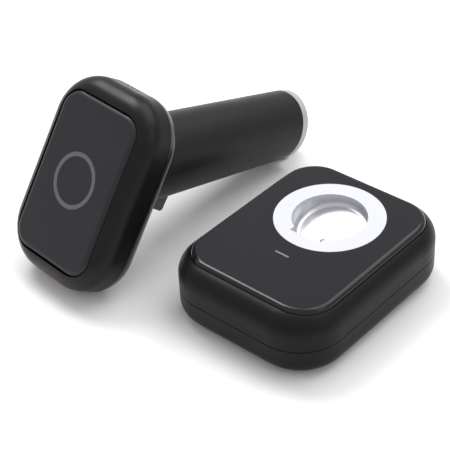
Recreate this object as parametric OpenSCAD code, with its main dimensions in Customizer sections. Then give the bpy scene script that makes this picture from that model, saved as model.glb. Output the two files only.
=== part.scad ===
// Cordless pistol-grip handheld reader lying beside its charging cradle.
// Millimetres, +Z up. The origin is on the floor under the middle of the cradle.
// The cradle's indicator end faces -Y; the handheld lies on the -X side.

/* [Cradle] */
// Widest width of the cradle body
base_width = 79.2; // [70:0.1:95]
// Longest length of the cradle body
base_length = 99.4; // [85:0.1:120]
// Corner radius of the cradle body seen from above
base_corner = 20.9; // [18:0.1:26]
// Height of the glossy plate above the floor
base_height = 30; // [27:0.1:34]
// Height of the seam between the two cradle shells
base_seam = 14.1; // [12.5:0.1:15.5]
// Radius of the soft shoulder above the side walls
base_shoulder = 8.7; // [8:0.1:12]
// Radius under the side walls
base_underside = 6.7; // [4:0.1:8]
// Width of the recess that holds the glossy plate
plate_width = 70.4; // [64:0.1:74]
// Length of the recess that holds the glossy plate
plate_length = 88.1; // [76:0.1:92]
// Corner radius of that recess
plate_corner = 15.1; // [10:0.1:20]
// Distance of the glossy plate's centre from the middle of the cradle
plate_y = 1; // [0:0.1:1.5]
// Outer radius of the white ring round the socket
ring_radius = 23.7; // [22:0.1:25]
// Radius of the round socket pocket
pocket_radius = 15.9; // [15.5:0.1:16.2]
// Depth of the socket pocket along its own axis
pocket_depth = 8.8; // [8.5:0.1:9]
// Lean of the socket pocket towards the indicator end
socket_lean = 11.5; // [9:0.5:13]
// Distance of the socket from the middle of the cradle
socket_y = 14.7; // [12:0.1:16]
// Length of the indicator slit
slit_length = 6.9; // [5:0.1:10]

/* [Handheld] */
// Width of the head
head_width = 60.6; // [50:0.1:64]
// Length of the head
head_length = 88.4; // [78:0.1:94]
// Corner radius of the head
head_corner = 21.1; // [19:0.1:23]
// Width of the recess for the face panel
panel_width = 47.9; // [42:0.1:50]
// Length of the recess for the face panel
panel_length = 73.2; // [68:0.1:78]
// Corner radius of the face panel recess
panel_corner = 10.2; // [8:0.1:13]
// Radius of the middle of the status light ring
status_radius = 11.3; // [9:0.1:13]
// Outer radius of the handle at the end of its tube
handle_radius = 16.2; // [16:0.1:17]
// Growth of that radius towards the head, for each 100 mm
handle_taper = 3; // [1:0.1:4]
// Length of the handle tube along its axis, from the face panel plane
handle_length = 121.2; // [116:0.1:126]
// Length of the silver ring at the end of the handle
end_ring_length = 3.4; // [3:0.1:5]
// Backward rake of the handle
handle_rake = 19.9; // [18:0.1:23]
// Angle of the handle's end face to its own axis
end_cut = 13.8; // [12:0.1:18]
// Length of the locating tongue beyond the end face
tongue_length = 6.1; // [5:0.1:7]
// Turn of the handheld on the floor
lie_turn = -5.3; // [-10:0.1:0]
// Position of the handheld's face centre to the side of the cradle
lie_x = -86.6; // [-100:0.1:-85]
// Position of the handheld's face centre along the cradle
lie_y = -47; // [-55:0.1:-40]

/* [Trigger] */
// Width of the trigger
trigger_width = 12; // [10:0.1:12.4]
// Diameter of the trigger's hinge pin
trigger_pin_diameter = 2; // [1.6:0.1:2.2]

/* [Hidden] */
$fn = 72;
touch = 0.01;
big = 400;

// Cradle walls and levels
wall = 2.4;
seam_gap = 0.36;
seam_lip = 1.2;
lip_height = 1.5;
lip_play = 0.1;
shell_floor = 1.2;
shell_top = base_height - 1;
recess_floor = base_height - 4;
ceiling = recess_floor - 2.6;
inner_floor = shell_floor + wall;
pad_top = shell_floor + 0.8;

// Cradle fittings
pad_width = 50;
pad_length = 76;
pad_corner = 10;
pad_play = 0.05;
screw_x = 30.5;
screw_y = 15;
screw_shank = 1.25;
screw_head = 2.6;
screw_head_height = 1.6;
boss_radius = 3.2;
board_low = 6.4;
board_thick = 1.6;
board_high = board_low + board_thick;
board_width = 52;
board_front = -24;
board_back = 43.2;
post_x = 21;
post_front = -20;
post_back = 36;
slit_y = -16.8;
slit_width = 0.9;
plate_gap = 0.35;
plate_edge = 2.2;
plate_skin = 2.4;

// Socket
ring_thick = 2.1;
ring_proud = 0.15;
ring_top = base_height + ring_proud;
flange_top = ring_top - ring_thick;
flange_radius = ring_radius - 0.5;
pocket_floor = -pocket_depth;
pocket_fillet = 2;
well_wall = 1.6;
key_width = 15.2;
key_reach = 16.7;
pin_radius = 1;
pin_spacing = 4.8;
pin_back_y = -6.6;
pin_front_y = pin_back_y - pin_spacing;
pin_tip = pocket_floor + 1.9;
pin_clearance = 0.05;
pin_collar = 1.45;
pin_chamber = 1.9;
pin_collar_top = -14.6;
pin_low = -17;
chamber_top = -14.5;
chamber_low = -18.9;
cup_low = pocket_floor - well_wall;

// Inlet for the supply cord
inlet_width = 8.94;
inlet_height = 3.26;
inlet_depth = 7.4;
inlet_face = base_length / 2 - 0.9;

// Handheld levels, measured from the face panel plane
head_top = 0.6;
head_seam = -14.2;
head_shoulder = 8.9;
head_lip = 9;
head_back = head_seam - head_lip;
head_wall = 2.2;
panel_floor = -2.4;
head_ceiling = -4.6;
head_inner_back = head_back + head_wall;
panel_gap = 0.35;
panel_high = 1;
panel_y = -0.7;
panel_edge = 2.6;
panel_bottom = panel_floor + 0.05;
status_width = 1.9;
status_depth = 1.5;
status_y = 0;
status_leg = 0.8;
status_legs = 6;
head_screw_x = 15;
head_screw_y = 29;
head_board_low = -12.6;
head_board_high = -11;
head_board_front = -18.5;
head_board_back = 36;
head_board_width = 23.6;
head_post_x = 9;
head_post_front = -15.5;
head_post_back = 32;
holes = 3;
hole_radius = 0.7;
hole_pitch = 3;
hole_z = -11.8;
window_width = 24;
window_low = -12.6;
window_high = -6.2;
window_z = (window_low + window_high) / 2;
engine_half = 11.6;
engine_rise = 3.9;
barrel_radius = 3.2;
lens_radius = 2.3;

// Handle
axis_y = 2.25;
tube_wall = 2.1;
handle_end = handle_length + end_ring_length;
chassis_play = tube_wall + 0.3;
chassis_inner = 12.7;
spigot_to = 44;
chassis_from = spigot_to + 0.4;
chassis_to = 111;
cell_radius = 9.15;
cell_y = 2;
cell_from = 58.2;
cell_to = 107.2;
slot_from = 20;
slot_to = 51.2;
slot_play = 0.45;
pivot_s = 26;
pivot_y = -9.8;
pivot_radius = trigger_pin_diameter / 2;
pivot_clearance = 0.05;
ear_inner = 6.6;
ear_outer = 8.6;
switch_s = 46;
plunger_radius = 0.9;
plunger_tip = -13.24;
switch_board_front = -3.6;
switch_board_back = -2;
nose_half = 4.5;
nose_back = 4;
nose_front = 13.1;
nose_length = 10.7;
contact_radius = 1.5;
tongue_half = 6;
tongue_outer = handle_radius + 0.2;
tongue_inner = 14;
tongue_touch = 3.9;
tongue_chamfer = 1.3;
tongue_bow = 20;

// The handheld rests on the lip of its head and on the chamfered edge of its tongue.
end_tilt = handle_rake - end_cut;
end_y = axis_y + handle_end * sin(handle_rake);
end_z = -handle_end * cos(handle_rake);
tip_y = end_y - tongue_outer * cos(end_tilt) + tongue_touch * sin(end_tilt);
tip_z = end_z - tongue_outer * sin(end_tilt) - tongue_touch * cos(end_tilt);
lip_y = head_lip - head_length / 2;
span_y = tip_y - lip_y;
span_z = head_seam - tip_z;
lie_lean = atan2(span_y, span_z) + asin(head_lip / norm([span_y, span_z]));
lie_z = head_lip - lip_y * cos(lie_lean) - head_seam * sin(lie_lean);

// Half outline of a shell wall; x runs outward from the corner axis.
module wall_outline(corner, top_r, low_r, low, high) {
    square_at(0, low + low_r, corner, high - top_r);
    square_at(0, high - top_r - touch, corner - top_r, high);
    square_at(0, low, corner - low_r, low + low_r + touch);
    translate([corner - low_r, low + low_r]) circle(r = low_r);
    intersection() {
        translate([corner - top_r, high - top_r]) circle(r = top_r);
        square_at(0, high - top_r, corner + 1, high + 1);
    }
}

module square_at(x0, y0, x1, y1) {
    translate([x0, y0]) square([x1 - x0, y1 - y0]);
}

// Carries a half outline round a rounded rectangle.
module sweep_round(wide, long, corner) {
    half_w = wide / 2 - corner;
    half_l = long / 2 - corner;
    for (side = [0, 180]) {
        rotate([0, 0, side]) {
            translate([half_w, half_l, 0]) rotate_extrude(angle = 90) children();
            translate([-half_w, half_l, 0]) rotate([0, 0, 90])
                rotate_extrude(angle = 90) children();
            translate([half_w, half_l, 0]) rotate([90, 0, 0])
                linear_extrude(2 * half_l) children();
            rotate([0, 0, 90]) translate([half_l, half_w, 0]) rotate([90, 0, 0])
                linear_extrude(2 * half_w) children();
        }
    }
}

// Solid rounded block with soft upper and lower edges, shrunk by inset.
module soft_block(wide, long, corner, top_r, low_r, low, high, inset = 0) {
    c = corner - inset;
    sweep_round(wide - 2 * inset, long - 2 * inset, c)
        wall_outline(c, top_r - inset, low_r - inset, low + inset, high - inset);
    half_w = wide / 2 - corner;
    half_l = long / 2 - corner;
    translate([-half_w, -half_l, low + inset])
        cube([2 * half_w, 2 * half_l, high - low - 2 * inset]);
}

// Plain slab with rounded corners.
module slab(wide, long, corner, low, high) {
    translate([0, 0, low]) linear_extrude(high - low) {
        square([wide - 2 * corner, long], center = true);
        square([wide, long - 2 * corner], center = true);
        for (sx = [-1, 1], sy = [-1, 1])
            translate([sx * (wide / 2 - corner), sy * (long / 2 - corner)])
                circle(r = corner);
    }
}

// Slab whose upper edge is rounded over.
module crowned_slab(wide, long, corner, edge, low, high) {
    sweep_round(wide, long, corner) {
        square_at(0, low, corner, high - edge);
        square_at(0, high - edge - touch, corner - edge, high);
        intersection() {
            translate([corner - edge, high - edge]) circle(r = edge);
            square_at(0, low, corner + 1, high + 1);
        }
    }
    half_w = wide / 2 - corner;
    half_l = long / 2 - corner;
    translate([-half_w, -half_l, low]) cube([2 * half_w, 2 * half_l, high - low]);
}

module rod(r, low, high) {
    translate([0, 0, low]) cylinder(r = r, h = high - low);
}

module box(x0, y0, z0, x1, y1, z1) {
    translate([x0, y0, z0]) cube([x1 - x0, y1 - y0, z1 - z0]);
}

module at_each(xs, ys) {
    for (x = xs, y = ys) translate([x, y, 0]) children();
}

// Pan-head screw standing on z = 0, head down, shank up.
module screw(head_r, head_h, shank_r, long) {
    difference() {
        rod(head_r, 0, head_h);
        translate([0, 0, -touch]) cylinder(r = 1, h = 0.8, $fn = 6);
    }
    rod(shank_r, head_h - touch, long);
}

/* ---------- Cradle ---------- */

module base_block(inset = 0) {
    soft_block(base_width, base_length, base_corner, base_shoulder, base_underside,
        shell_floor, shell_top, inset);
}

// Rectangular cut for the cord inlet in the back wall.
module inlet_cut() {
    slack = 0.35;
    mid = board_high + inlet_height / 2;
    translate([0, base_length / 2, mid]) rotate([90, 0, 0])
        linear_extrude(8, center = true)
            square([inlet_width + 2 * slack, inlet_height + 2 * slack], center = true);
}

module cradle_lower_shell() {
    color("#17181b") difference() {
        union() {
            difference() {
                union() {
                    intersection() {
                        base_block();
                        box(-big, -big, 0, big, big, base_seam - seam_gap / 2);
                    }
                    intersection() {
                        base_block(seam_lip);
                        box(-big, -big, base_seam - 3, big, big, base_seam + lip_height);
                    }
                }
                intersection() {
                    base_block(wall);
                    box(-big, -big, 0, big, big, base_seam + 4);
                }
            }
            at_each([-screw_x, screw_x], [-screw_y, screw_y + 6])
                rod(boss_radius, inner_floor - touch, base_seam - 0.4);
            at_each([-post_x, post_x], [post_front, post_back]) {
                rod(2.6, inner_floor - touch, board_low);
                rod(1, inner_floor, board_high + 0.6);
            }
        }
        at_each([-screw_x, screw_x], [-screw_y, screw_y + 6]) {
            rod(screw_shank + 0.1, 0, base_seam);
            rod(screw_head + 0.2, 0, shell_floor + screw_head_height + 0.4);
        }
        slab(pad_width + 2 * pad_play, pad_length + 2 * pad_play, pad_corner, 0, pad_top);
        inlet_cut();
    }
}

module cradle_upper_shell() {
    color("#141517") difference() {
        union() {
            difference() {
                intersection() {
                    base_block();
                    box(-big, -big, base_seam + seam_gap / 2, big, big, big);
                }
                intersection() {
                    base_block(wall);
                    box(-big, -big, 0, big, big, ceiling);
                }
                intersection() {
                    base_block(seam_lip - lip_play);
                    box(-big, -big, 0, big, big, base_seam + lip_height + lip_play);
                }
                translate([0, plate_y, 0])
                    slab(plate_width, plate_length, plate_corner, recess_floor, big);
            }
            at_each([-screw_x, screw_x], [-screw_y, screw_y + 6])
                rod(boss_radius, base_seam, ceiling + touch);
        }
        at_each([-screw_x, screw_x], [-screw_y, screw_y + 6])
            rod(screw_shank, 0, base_seam + 8);
        translate([0, socket_y, 0]) rod(pocket_radius + 5.2, ceiling - 1, big);
        box(-slit_length / 2 - 0.2, slit_y - 0.8, ceiling - 1,
            slit_length / 2 + 0.2, slit_y + 0.8, big);
    }
}

module cradle_top_plate() {
    inner = plate_gap + 3;
    color("#0b0c0e") difference() {
        translate([0, plate_y, 0])
            crowned_slab(plate_width - 2 * plate_gap, plate_length - 2 * plate_gap,
                plate_corner - plate_gap, plate_edge, recess_floor, base_height);
        difference() {
            translate([0, plate_y, 0])
                slab(plate_width - 2 * inner, plate_length - 2 * inner, plate_corner - inner,
                    recess_floor - 1, base_height - plate_skin);
            translate([0, socket_y, 0]) rod(ring_radius + 2.2, 0, big);
            box(-slit_length / 2 - 2, slit_y - 2.4, 0, slit_length / 2 + 2, slit_y + 2.4, big);
        }
        translate([0, socket_y, 0]) rod(ring_radius + 0.06, 0, big);
        box(-slit_length / 2 - 0.05, slit_y - slit_width / 2 - 0.05, 0,
            slit_length / 2 + 0.05, slit_y + slit_width / 2 + 0.05, big);
    }
}

// Frame of the leaning socket: the origin is on its axis at the ring's top.
module in_socket() {
    translate([0, socket_y, ring_top]) rotate([socket_lean, 0, 0]) children();
}

// Hollow of the socket: a round pocket with a shallow key at the front.
module pocket_space() {
    in_socket() {
        translate([0, 0, pocket_floor]) rotate_extrude() {
            square_at(0, pocket_fillet, pocket_radius, 20);
            square_at(0, 0, pocket_radius - pocket_fillet, pocket_fillet + touch);
            intersection() {
                translate([pocket_radius - pocket_fillet, pocket_fillet])
                    circle(r = pocket_fillet);
                square_at(0, 0, pocket_radius, pocket_fillet + touch);
            }
        }
        box(-key_width / 2, -key_reach, pocket_floor + 1.2, key_width / 2, -8, 20);
    }
}

module socket_ring() {
    color("#dfe3ee") difference() {
        translate([0, socket_y, 0]) rod(ring_radius, flange_top, ring_top);
        pocket_space();
    }
}

module socket_cup() {
    color("#d9dce0") difference() {
        union() {
            translate([0, socket_y, 0]) rod(flange_radius, recess_floor, flange_top);
            intersection() {
                in_socket() {
                    rod(pocket_radius + well_wall, cup_low, 10);
                    box(-key_width / 2 - well_wall, -key_reach - well_wall, cup_low,
                        key_width / 2 + well_wall, -8, 10);
                }
                box(-big, -big, 0, big, big, flange_top);
            }
        }
        pocket_space();
        at_pins() rod(pin_radius + 0.4, -big, 0);
    }
}

module at_pins() {
    in_socket() at_each([0], [pin_front_y, pin_back_y]) children();
}

module charge_pin_block() {
    color("#26272a") difference() {
        intersection() {
            in_socket() box(-3.6, pin_front_y - 3.6, -big, 3.6, pin_back_y + 3.6, cup_low);
            box(-big, -big, board_high, big, big, big);
        }
        at_pins() {
            rod(pin_radius + pin_clearance, chamber_low, big);
            rod(pin_chamber, chamber_low, chamber_top);
        }
    }
}

module charge_pin(y) {
    color("#c9a34a") in_socket() translate([0, y, 0]) {
        rod(pin_radius, pin_low, pin_tip - 0.5);
        rod(pin_collar, pin_collar_top - 1, pin_collar_top);
        translate([0, 0, pin_tip - 0.5]) rotate_extrude() {
            square_at(0, -touch, 0.5, 0.5);
            intersection() {
                translate([0.5, 0]) circle(r = 0.5);
                square_at(0, -touch, 1, 1);
            }
        }
    }
}

module charge_pin_front() {
    charge_pin(pin_front_y);
}

module charge_pin_back() {
    charge_pin(pin_back_y);
}

module cradle_board() {
    color("#1f5a38") difference() {
        union() {
            box(-board_width / 2, board_front, board_low, board_width / 2, board_back,
                board_high);
            box(-8, board_back - 1, board_low, 8, board_back + 3.4, board_high);
        }
        at_each([-post_x, post_x], [post_front, post_back]) rod(1.1, 0, big);
    }
}

module usb_inlet() {
    skin = 0.3;
    mid = board_high + inlet_height / 2;
    color("#b9bbbf") translate([0, inlet_face, mid]) rotate([90, 0, 0]) {
        difference() {
            linear_extrude(inlet_depth) stadium(inlet_width, inlet_height);
            translate([0, 0, -1]) linear_extrude(inlet_depth - 0.2)
                stadium(inlet_width - 2 * skin, inlet_height - 2 * skin);
        }
        translate([0, 0, 0.6]) linear_extrude(inlet_depth - 1.2)
            square([6.7, 0.7], center = true);
    }
}

module stadium(wide, high) {
    square([wide - high, high], center = true);
    for (side = [-1, 1]) translate([side * (wide - high) / 2, 0]) circle(d = high);
}

module cradle_light_pipe() {
    color("#c8ccd2") {
        box(-slit_length / 2, slit_y - slit_width / 2, ceiling - 4,
            slit_length / 2, slit_y + slit_width / 2, base_height);
        box(-slit_length / 2 - 1.6, slit_y - 1.6, ceiling - 3,
            slit_length / 2 + 1.6, slit_y + 1.6, ceiling);
        box(-1.6, slit_y - slit_width / 2, board_high + 1.3,
            1.6, slit_y + slit_width / 2, ceiling - 3);
    }
}

module cradle_indicator_led() {
    color("#e8e6da") box(-1.6, slit_y - 0.8, board_high, 1.6, slit_y + 0.8, board_high + 1.1);
}

module ballast_plate() {
    color("#84878a") translate([0, 8, 0]) slab(50, 44, 3, inner_floor, board_low - 0.3);
}

module base_pad() {
    color("#3a3b3d") slab(pad_width, pad_length, pad_corner, 0, pad_top);
}

module cradle_screws() {
    color("#9a9da0") at_each([-screw_x, screw_x], [-screw_y, screw_y + 6])
        translate([0, 0, shell_floor + 0.4])
            screw(screw_head, screw_head_height, screw_shank, base_seam + 6 - shell_floor);
}

/* ---------- Handheld ---------- */

// Puts parts drawn about the face centre into their place on the floor.
module lying() {
    translate([lie_x, lie_y, lie_z]) rotate([0, 0, lie_turn])
        rotate([90 - lie_lean, 0, 0]) children();
}

function grip_radius(s) = handle_radius + handle_taper * (handle_length - s) / 100;

// Slightly tapered round of the handle between two distances along its axis.
module grip(inset, from, to) {
    translate([0, 0, -to])
        cylinder(r1 = grip_radius(to) - inset, r2 = grip_radius(from) - inset, h = to - from);
}

// Handle frame: the axis runs down local -Z from the face plane.
module in_handle() {
    translate([0, axis_y, 0]) rotate([handle_rake, 0, 0]) children();
}

// End-face frame: +Z is the outward normal turned back to the handle.
module at_end_face(s) {
    translate([0, 0, -s]) rotate([-end_cut, 0, 0]) children();
}

module head_block(inset = 0) {
    soft_block(head_width, head_length, head_corner, head_shoulder, head_lip,
        head_back, head_top, inset);
}

module at_head_screws() {
    at_each([-head_screw_x, head_screw_x], [-head_screw_y, head_screw_y]) children();
}

module at_status_legs() {
    for (i = [0 : status_legs - 1])
        rotate([0, 0, 30 + i * 360 / status_legs]) translate([status_radius, 0, 0])
            children();
}

module speaker_holes() {
    for (i = [0 : holes - 1])
        translate([(i - (holes - 1) / 2) * hole_pitch, head_length / 2 + 2, hole_z])
            rotate([90, 0, 0]) cylinder(r = hole_radius, h = 8);
}

module head_front_shell() {
    color("#17181b") lying() difference() {
        union() {
            difference() {
                intersection() {
                    head_block();
                    box(-big, -big, head_seam + seam_gap / 2, big, big, big);
                }
                intersection() {
                    head_block(head_wall);
                    box(-big, -big, -big, big, big, head_ceiling);
                }
                intersection() {
                    head_block(seam_lip - lip_play);
                    box(-big, -big, -big, big, big, head_seam + lip_height + lip_play);
                }
                translate([0, panel_y, 0])
                    slab(panel_width, panel_length, panel_corner, panel_floor, big);
                speaker_holes();
                box(-window_width / 2, -head_length, window_low,
                    window_width / 2, 4 - head_length / 2, window_high);
            }
            at_head_screws() rod(2.8, head_seam, head_ceiling + touch);
            at_each([-head_post_x, head_post_x], [head_post_front, head_post_back])
                rod(2, head_board_high, head_ceiling + touch);
        }
        at_head_screws() rod(screw_shank, -big, -8);
        translate([0, status_y, 0]) at_status_legs() rod(status_leg + 0.2, -big, 0);
    }
}

module head_back_shell() {
    color("#1a1b1e") lying() difference() {
        union() {
            difference() {
                union() {
                    intersection() {
                        head_block();
                        box(-big, -big, -big, big, big, head_seam - seam_gap / 2);
                    }
                    intersection() {
                        head_block(seam_lip);
                        box(-big, -big, head_seam - 3, big, big, head_seam + lip_height);
                    }
                }
                intersection() {
                    head_block(head_wall);
                    box(-big, -big, -big, big, big, head_seam + 4);
                }
            }
            at_head_screws() rod(2.8, head_inner_back - touch, head_seam - 0.4);
            spigot();
        }
        at_head_screws() {
            rod(screw_shank + 0.15, -big, 0);
            rod(screw_head + 0.2, -big, head_back + screw_head_height + 0.2);
        }
        in_handle() rod(chassis_inner, -big, 0);
    }
}

// Collar that carries the handle tube; its underside is open for the trigger.
module spigot() {
    intersection() {
        in_handle() difference() {
            grip(tube_wall + 0.1, 10, spigot_to);
            box(-big, -big, -spigot_to - 1, big, -6, -slot_from);
        }
        box(-big, -big, -big, big, big, head_inner_back);
    }
}

module face_panel() {
    color("#1b1c1f") lying() difference() {
        translate([0, panel_y, 0])
            crowned_slab(panel_width - 2 * panel_gap, panel_length - 2 * panel_gap,
                panel_corner - panel_gap, panel_edge, panel_bottom, panel_high);
        translate([0, status_y, 0]) {
            difference() {
                rod(status_radius + status_width / 2 + 0.04, panel_high - status_depth, big);
                rod(status_radius - status_width / 2 - 0.04, -big, big);
            }
            at_status_legs() rod(status_leg + 0.1, -big, big);
        }
    }
}

module status_ring() {
    color("#b8bcc4") lying() translate([0, status_y, 0]) {
        difference() {
            rod(status_radius + status_width / 2, panel_high - status_depth, panel_high);
            rod(status_radius - status_width / 2, -big, big);
        }
        at_status_legs() rod(status_leg, head_ceiling - 0.2, panel_high - status_depth + touch);
    }
}

module status_board() {
    low = head_ceiling - 2;
    color("#1f5a38") lying() translate([0, status_y, 0]) {
        difference() {
            rod(15, low - 1, low);
            rod(8, -big, big);
        }
        at_status_legs() box(-0.9, -0.9, low - touch, 0.9, 0.9, low + 1);
        at_each([-3.4, 3.4], [0]) status_struts(low);
    }
}

// Tall pins that carry the status board's wiring down to the head board.
module status_struts(low) {
    for (side = [-1, 1])
        translate([0, side * 10, 0]) rod(0.5, head_board_high, low - 1 + touch);
}

module head_board() {
    color("#1f5a38") lying() {
        box(-head_board_width / 2, head_board_front, head_board_low,
            head_board_width / 2, head_board_back, head_board_high);
        box(-6, 4, head_board_low - 1.4, 6, 16, head_board_low + touch);
        box(-11, -8, head_board_low - 2.4, -4, -2, head_board_low + touch);
    }
}

module buzzer() {
    color("#101113") lying() translate([0, 30, 0]) difference() {
        rod(5.5, head_board_high, head_board_high + 4);
        rod(1.2, head_board_high + 2.5, big);
    }
}

module scan_window() {
    face = -head_length / 2;
    color("#2b0f12") lying()
        box(-window_width / 2 + 0.05, face + 0.8, window_low + 0.05,
            window_width / 2 - 0.05, face + 2.2, window_high - 0.05);
}

module scan_engine() {
    front = 5.2 - head_length / 2;
    color("#222428") lying() difference() {
        union() {
            box(-engine_half, front, window_z - engine_rise, engine_half, front + 15,
                window_z + engine_rise);
            box(-engine_half, front + 4, window_z, engine_half, front + 12, head_ceiling);
        }
        translate([0, front - 1, window_z]) rotate([-90, 0, 0]) cylinder(r = barrel_radius, h = 11);
        for (side = [-1, 1])
            translate([side * 8, front - 1, window_z]) rotate([-90, 0, 0])
                cylinder(r = 1.8, h = 4);
    }
}

module lens_barrel() {
    front = 5.2 - head_length / 2;
    color("#0d0e10") lying() translate([0, front - 1, window_z]) rotate([-90, 0, 0])
        difference() {
            cylinder(r = barrel_radius, h = 9);
            translate([0, 0, -1]) cylinder(r = lens_radius, h = 3);
            translate([0, 0, 1]) cylinder(r = lens_radius - 0.9, h = 20);
        }
}

module lens() {
    front = 5.2 - head_length / 2;
    color("#7f93a8") lying() translate([0, front, window_z]) rotate([-90, 0, 0])
        intersection() {
            cylinder(r = lens_radius, h = 1);
            translate([0, 0, 6.6]) sphere(r = 6.6);
        }
}

module illumination_leds() {
    front = 5.2 - head_length / 2;
    color("#e9e7dc") lying() for (side = [-1, 1])
        translate([side * 8, front + 0.4, window_z]) rotate([-90, 0, 0])
            cylinder(r = 1.8, h = 2.6);
}

module handle_tube() {
    color("#101113") lying() intersection() {
        in_handle() difference() {
            intersection() {
                grip(0, 0, handle_end);
                at_end_face(handle_length) box(-big, -big, 0, big, big, big);
            }
            grip(tube_wall, -10, handle_end + 10);
            box(-trigger_width / 2 - slot_play, -big, -slot_to,
                trigger_width / 2 + slot_play, 0, -slot_from);
        }
        box(-big, -big, -big, big, big, head_back);
    }
}

module handle_chassis() {
    color("#2a2c30") lying() in_handle() difference() {
        union() {
            intersection() {
                difference() {
                    grip(chassis_play, chassis_from, chassis_to);
                    rod(chassis_inner, -big, big);
                }
                box(-big, 3, -big, big, big, 0);
            }
            intersection() {
                grip(chassis_play, chassis_from, chassis_to);
                for (s = [55, 66, 82, 98, 109.4])
                    box(-big, 0, -s - 1.6, big, big, -s);
            }
            for (side = [-1, 1]) intersection() {
                grip(chassis_play, 22.5, 59);
                translate([side * (ear_inner + ear_outer) / 2, 0, 0]) union() {
                    box(-1, pivot_y, -pivot_s - 2.2, 1, 8, -pivot_s + 2.2);
                    translate([-1, pivot_y, -pivot_s]) rotate([0, 90, 0])
                        cylinder(r = 2.2, h = 2);
                    box(-1, switch_board_back, -57, 1, 8, -pivot_s);
                }
            }
            intersection() {
                rod(chassis_inner - 0.3, -36, -pivot_s + 2.2);
                box(-ear_outer, 8 - touch, -36, ear_outer, 10, -pivot_s + 2.2);
            }
        }
        translate([0, cell_y, 0]) rod(cell_radius + 0.05, -cell_to - touch, -cell_from + touch);
        translate([-big, pivot_y, -pivot_s]) rotate([0, 90, 0])
            cylinder(r = pivot_radius, h = 2 * big);
    }
}

module battery_cell() {
    color("#3d6fa3") lying() in_handle() translate([0, cell_y, 0]) {
        rod(cell_radius, -cell_to, -cell_from - 1);
        rod(3, -cell_from - 1 - touch, -cell_from);
    }
}

module battery_contacts() {
    color("#c4c6c8") lying() in_handle() translate([0, cell_y, 0]) {
        rod(4, -cell_from, -cell_from + 0.6);
        rod(6, -cell_to - 0.6, -cell_to);
        rod(4, -cell_to - 2.2, -cell_to - 0.6 + touch);
    }
}

module switch_board() {
    color("#1f5a38") lying() in_handle()
        box(-8.5, switch_board_front, -57, 8.5, switch_board_back, -34);
}

module trigger_switch() {
    color("#2f3236") lying() in_handle() difference() {
        box(-3.2, -9.4, -switch_s - 4.5, 3.2, switch_board_front, -switch_s + 4.5);
        translate([0, -12, -switch_s]) rotate([-90, 0, 0])
            cylinder(r = plunger_radius + 0.05, h = 7);
    }
}

module switch_plunger() {
    color("#b03028") lying() in_handle() translate([0, plunger_tip + plunger_radius, -switch_s]) {
        rotate([-90, 0, 0]) cylinder(r = plunger_radius, h = 5);
        sphere(r = plunger_radius);
    }
}

// Side view of the trigger: x runs across the handle, y along it.
module trigger_outline() {
    tip = [-23.1, -45];
    tip_radius = 1.6;
    difference() {
        union() {
            polygon([[-13.3, -22], [-18.9, -22], [-19.8, -22.9],
                [tip.x - 1.45, tip.y + 0.7], [tip.x - 0.9, tip.y - 1.3], [-17, -49.4],
                [-14.4, -49.4], [-14.4, -53], [-12.8, -53], [-12.8, -48.4], [-13.3, -47.9],
                [-13.3, -31], [pivot_y, -28], [pivot_y, -24]]);
            translate(tip) circle(r = tip_radius);
            translate([pivot_y, -pivot_s]) circle(r = 2.5);
        }
        translate([-47.3, -29.3]) circle(r = 27.1);
        translate([pivot_y, -pivot_s]) circle(r = pivot_radius + pivot_clearance);
    }
}

module trigger() {
    color("#4a4c50") lying() in_handle() translate([-trigger_width / 2, 0, 0])
        rotate([90, 0, 90]) linear_extrude(trigger_width) trigger_outline();
}

module trigger_pin() {
    color("#a8abae") lying() in_handle()
        translate([-ear_outer, pivot_y, -pivot_s]) rotate([0, 90, 0])
            cylinder(r = pivot_radius, h = 2 * ear_outer);
}

// Silver end ring with the locating tongue, which fits the key of the socket.
module end_ring() {
    color("#8f9499") lying() in_handle() {
        intersection() {
            difference() {
                grip(0, handle_length - 10, handle_end + 10);
                grip(tube_wall + 0.8, handle_length - 20, handle_end + 20);
            }
            at_end_face(handle_length)
                box(-big, -big, -end_ring_length * cos(end_cut), big, big, 0);
        }
        at_end_face(handle_end) intersection() {
            translate([0, tongue_bow - tongue_outer, 0])
                cylinder(r = tongue_bow, h = 40, center = true);
            rotate([90, 0, 90]) linear_extrude(2 * tongue_half, center = true)
                polygon([[-tongue_outer, 1], [-tongue_outer, -tongue_touch],
                    [tongue_chamfer - tongue_outer, -tongue_length],
                    [-tongue_inner, -tongue_length], [-tongue_inner, 1]]);
        }
    }
}

module end_plug() {
    color("#1c1d20") lying() in_handle() difference() {
        union() {
            intersection() {
                grip(tube_wall + 0.85, handle_length - 10, handle_end + 10);
                at_end_face(handle_end) box(-big, -big, 0, big, big, 2.4);
            }
            at_end_face(handle_end)
                box(-nose_half, -nose_front, -nose_length, nose_half, -nose_back, touch);
        }
        at_contacts() rod(contact_radius, -big, -nose_length + 0.8);
    }
}

module at_contacts() {
    at_end_face(handle_end) at_each([0], [pin_back_y, pin_back_y - pin_spacing]) children();
}

module charge_contacts() {
    color("#c9a34a") lying() in_handle() at_contacts()
        rod(contact_radius, -nose_length - 0.1, -nose_length + 0.8);
}

module head_screws() {
    color("#9a9da0") lying() at_head_screws() translate([0, 0, head_back + 0.2])
        screw(screw_head, screw_head_height, screw_shank, 11);
}

cradle_lower_shell();
cradle_upper_shell();
cradle_top_plate();
socket_ring();
socket_cup();
charge_pin_block();
charge_pin_front();
charge_pin_back();
cradle_board();
usb_inlet();
cradle_light_pipe();
cradle_indicator_led();
ballast_plate();
base_pad();
cradle_screws();
head_front_shell();
head_back_shell();
face_panel();
status_ring();
status_board();
head_board();
buzzer();
scan_window();
scan_engine();
lens_barrel();
lens();
illumination_leds();
handle_tube();
handle_chassis();
battery_cell();
battery_contacts();
switch_board();
trigger_switch();
switch_plunger();
trigger();
trigger_pin();
end_ring();
end_plug();
charge_contacts();
head_screws();
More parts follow.
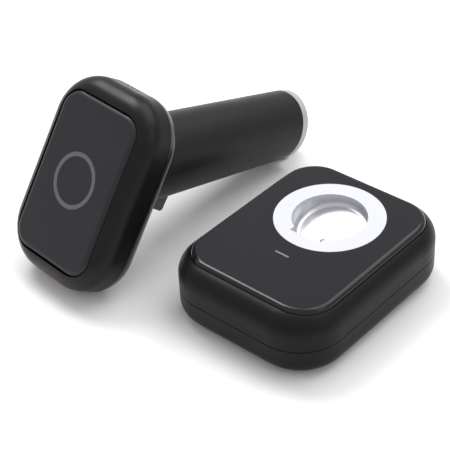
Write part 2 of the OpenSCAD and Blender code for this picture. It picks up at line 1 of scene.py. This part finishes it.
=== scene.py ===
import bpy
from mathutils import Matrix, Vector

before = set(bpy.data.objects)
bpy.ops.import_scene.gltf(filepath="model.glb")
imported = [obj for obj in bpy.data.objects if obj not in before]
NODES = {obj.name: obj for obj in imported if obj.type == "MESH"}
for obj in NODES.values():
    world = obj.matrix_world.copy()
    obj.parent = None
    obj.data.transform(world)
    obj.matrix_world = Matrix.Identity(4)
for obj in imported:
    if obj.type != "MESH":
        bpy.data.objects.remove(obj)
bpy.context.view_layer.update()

# Looks, floor, light and camera for a cordless handheld reader that lies beside its charging
# cradle. Every shape comes from the frame; this script gives each piece its surface.

MM = 0.001
scene = bpy.context.scene

# ------------------------------------------------------------------ camera

CAMERA_POSITION = Vector((0.280713, -0.347032, 0.372167))
CAMERA_RIGHT = Vector((0.750999, 0.658563, -0.047909))
CAMERA_UP = Vector((-0.368197, 0.477895, 0.797526))
LENS_MM = 109.01
SENSOR_MM = 36.0
NEAREST = 0.01
FARTHEST = 20.0

camera_data = bpy.data.cameras.new("camera")
camera_data.sensor_width = SENSOR_MM
camera_data.lens = LENS_MM
camera_data.clip_start = NEAREST
camera_data.clip_end = FARTHEST
camera = bpy.data.objects.new("camera", camera_data)
scene.collection.objects.link(camera)
back = CAMERA_RIGHT.cross(CAMERA_UP).normalized()
turn = Matrix((CAMERA_RIGHT, CAMERA_UP, back)).transposed().to_4x4()
camera.matrix_world = Matrix.Translation(CAMERA_POSITION) @ turn
scene.camera = camera

# --------------------------------------------------------------- materials

NOISE_DETAIL = 3.0
NOISE_LOW, NOISE_HIGH = 0.3, 0.7  # the part of 0 to 1 that noise mostly fills
CLOUD_MM = 14.0
GRAIN_STRENGTH = 0.6
COAT_ROUGH = 0.05
PLASTIC_IOR = 1.5


def new_material(name):
    material = bpy.data.materials.new(name)
    material.use_nodes = True
    nodes = material.node_tree.nodes
    return material, nodes, material.node_tree.links, nodes["Principled BSDF"]


def object_noise(nodes, links, size_mm):
    """Noise whose features measure about size_mm, in the piece's own coordinates."""
    coords = nodes.new("ShaderNodeTexCoord")
    noise = nodes.new("ShaderNodeTexNoise")
    noise.inputs["Scale"].default_value = 1.0 / (size_mm * MM)
    noise.inputs["Detail"].default_value = NOISE_DETAIL
    links.new(coords.outputs["Object"], noise.inputs["Vector"])
    return noise.outputs["Fac"]


def ranged(nodes, links, source, low, high):
    """Noise from source, mapped to low..high."""
    spread = nodes.new("ShaderNodeMapRange")
    spread.inputs["From Min"].default_value = NOISE_LOW
    spread.inputs["From Max"].default_value = NOISE_HIGH
    spread.inputs["To Min"].default_value = low
    spread.inputs["To Max"].default_value = high
    links.new(source, spread.inputs["Value"])
    return spread.outputs["Result"]


def tinted(nodes, links, source, colour, change):
    """colour, made darker and lighter by change as source varies."""
    mix = nodes.new("ShaderNodeMix")
    mix.data_type = "RGBA"
    mix.inputs["A"].default_value = [*(c * (1 - change) for c in colour), 1]
    mix.inputs["B"].default_value = [*(min(1, c * (1 + change)) for c in colour), 1]
    links.new(source, mix.inputs["Factor"])
    return mix.outputs["Result"]


def surface(name, colour, rough, rough_change=0.04, tint=0.06, metallic=0.0, grain_mm=0.35,
            grain_depth=0.01, coat=0.0, transmission=0.0, specular=0.5):
    """A moulded, lacquered or plated surface with fine grain and faint uneven polish."""
    material, nodes, links, shader = new_material(name)
    fixed = {"Metallic": metallic, "IOR": PLASTIC_IOR, "Specular IOR Level": specular,
             "Coat Weight": coat, "Coat Roughness": COAT_ROUGH,
             "Transmission Weight": transmission}
    for socket, value in fixed.items():
        shader.inputs[socket].default_value = value
    cloud = object_noise(nodes, links, CLOUD_MM)
    links.new(tinted(nodes, links, cloud, colour, tint), shader.inputs["Base Color"])
    links.new(ranged(nodes, links, cloud, rough - rough_change, rough + rough_change),
              shader.inputs["Roughness"])
    if grain_depth:
        bump = nodes.new("ShaderNodeBump")
        bump.inputs["Strength"].default_value = GRAIN_STRENGTH
        bump.inputs["Distance"].default_value = grain_depth * MM
        links.new(object_noise(nodes, links, grain_mm), bump.inputs["Height"])
        links.new(bump.outputs["Normal"], shader.inputs["Normal"])
    return material


def grey(value, blue=1.0):
    return (value, value, value * blue)


# Finishes that several pieces share, then the look of every node; grain sizes are in mm.
STEEL = dict(colour=(0.6, 0.6, 0.61), metallic=1.0)
GOLD = dict(colour=(0.78, 0.55, 0.22), rough=0.2, metallic=1.0)
BOARD = dict(colour=(0.02, 0.11, 0.05), rough=0.35, coat=0.3)

LOOKS = {
    "cradle_upper_shell": dict(colour=grey(0.007, 1.12), rough=0.4, grain_depth=0.003,
                               specular=0.14),
    "cradle_lower_shell": dict(colour=grey(0.007, 1.12), rough=0.42, grain_depth=0.003,
                               specular=0.16),
    "cradle_top_plate": dict(colour=grey(0.012, 1.22), rough=0.07, rough_change=0.015,
                             grain_depth=0, specular=0.28),
    "socket_ring": dict(colour=(0.60, 0.61, 0.66), rough=0.4, grain_depth=0.002, tint=0.02,
                        specular=0.2),
    "socket_cup": dict(colour=(0.62, 0.62, 0.65), rough=0.3, metallic=0.8, tint=0.02,
                       grain_depth=0.002),
    "charge_pin_block": dict(colour=grey(0.03), rough=0.5),
    "charge_pin_front": dict(GOLD, grain_depth=0.001),
    "charge_pin_back": dict(GOLD, grain_depth=0.001),
    "cradle_board": BOARD,
    "usb_inlet": dict(STEEL, rough=0.28),
    "cradle_light_pipe": dict(colour=(0.14, 0.14, 0.15), rough=0.4, grain_depth=0.001),
    "cradle_indicator_led": dict(colour=(0.7, 0.68, 0.55), rough=0.3),
    "ballast_plate": dict(colour=(0.45, 0.46, 0.47), rough=0.35, metallic=1.0),
    "base_pad": dict(colour=grey(0.05), rough=0.8, grain_mm=0.5, grain_depth=0.03),
    "cradle_screws": dict(colour=(0.5, 0.5, 0.51), rough=0.3, metallic=1.0),
    "head_front_shell": dict(colour=grey(0.006, 1.15), rough=0.34, grain_depth=0.003,
                             specular=0.2),
    "head_back_shell": dict(colour=grey(0.008, 1.15), rough=0.24, grain_depth=0.002,
                            specular=0.4),
    "face_panel": dict(colour=grey(0.018, 1.22), rough=0.4, grain_depth=0.003, grain_mm=0.25,
                       specular=0.26),
    "status_ring": dict(colour=grey(0.10, 1.05), rough=0.22, grain_depth=0.001),
    "status_board": BOARD,
    "head_board": BOARD,
    "buzzer": dict(colour=grey(0.015), rough=0.4),
    "scan_window": dict(colour=(0.12, 0.01, 0.015), rough=0.06, grain_depth=0, coat=0.8),
    "scan_engine": dict(colour=grey(0.02), rough=0.45),
    "lens_barrel": dict(colour=grey(0.012), rough=0.3, metallic=0.5),
    "lens": dict(colour=(0.7, 0.8, 0.9), rough=0.03, grain_depth=0, transmission=0.9),
    "illumination_leds": dict(colour=(0.8, 0.78, 0.66), rough=0.2),
    "handle_tube": dict(colour=grey(0.010, 1.12), rough=0.4, grain_depth=0.004,
                        specular=0.2),
    "handle_chassis": dict(colour=grey(0.05), rough=0.5),
    "battery_cell": dict(colour=(0.05, 0.14, 0.32), rough=0.3, coat=0.4),
    "battery_contacts": dict(colour=(0.6, 0.59, 0.56), rough=0.25, metallic=1.0),
    "switch_board": BOARD,
    "trigger_switch": dict(colour=grey(0.03), rough=0.4),
    "switch_plunger": dict(colour=(0.5, 0.05, 0.03), rough=0.4),
    "trigger": dict(colour=grey(0.075), rough=0.42, grain_depth=0.004),
    "trigger_pin": dict(STEEL, rough=0.2),
    "end_ring": dict(colour=(0.40, 0.41, 0.42), rough=0.4, metallic=0.3, grain_depth=0.003),
    "end_plug": dict(colour=grey(0.014, 1.05), rough=0.4, grain_depth=0.004),
    "charge_contacts": GOLD,
    "head_screws": dict(colour=(0.12, 0.12, 0.125), rough=0.35, metallic=1.0),
}

for name, piece in NODES.items():
    material = surface(name, **LOOKS[name])
    piece.data.materials.clear()
    piece.data.materials.append(material)

# ------------------------------------------------------------ floor, lights


def plane(name, half, height):
    """A square of side 2 * half, lying flat at height."""
    mesh = bpy.data.meshes.new(name)
    corners = [(-half, -half, height), (half, -half, height), (half, half, height),
               (-half, half, height)]
    mesh.from_pydata(corners, [], [(0, 1, 2, 3)])
    mesh.update()
    obj = bpy.data.objects.new(name, mesh)
    scene.collection.objects.link(obj)
    return obj


FLOOR_HALF = 3.0
FLOOR_BELOW = 0.00002  # keeps the floor clear of the undersides that lie on it

floor = plane("floor", FLOOR_HALF, -FLOOR_BELOW)
floor_material, floor_nodes, floor_links, floor_shader = new_material("floor")
floor_shader.inputs["Base Color"].default_value = (0.88, 0.88, 0.885, 1)
floor_shader.inputs["Roughness"].default_value = 0.6
floor_shader.inputs["Specular IOR Level"].default_value = 0.2
floor.data.materials.append(floor_material)


MIDDLE = (-0.03, 0.0, 0.02)
WORLD_STRENGTH = 0.72


def softbox(name, place, size_x, size_y, power):
    """A rectangular lamp at place, turned to MIDDLE."""
    data = bpy.data.lights.new(name, "AREA")
    data.shape = "RECTANGLE"
    data.size = size_x
    data.size_y = size_y
    data.energy = power
    lamp = bpy.data.objects.new(name, data)
    scene.collection.objects.link(lamp)
    lamp.location = place
    aim = Vector(MIDDLE) - Vector(place)
    lamp.rotation_euler = aim.to_track_quat("-Z", "Y").to_euler()


softbox("key", (0.1, 0.62, 1.15), 1.1, 1.0, 8.5)
softbox("edge_strip", (-0.62, 0.2, 0.86), 0.5, 0.5, 6.5)
softbox("side_glow", (0.95, 0.1, 0.8), 0.5, 0.5, 1.0)

world = bpy.data.worlds.new("studio")
scene.world = world
world.use_nodes = True
sky = world.node_tree.nodes["Background"]
sky.inputs["Color"].default_value = (1.0, 1.0, 1.0, 1)
sky.inputs["Strength"].default_value = WORLD_STRENGTH

scene.view_settings.view_transform = "Standard"
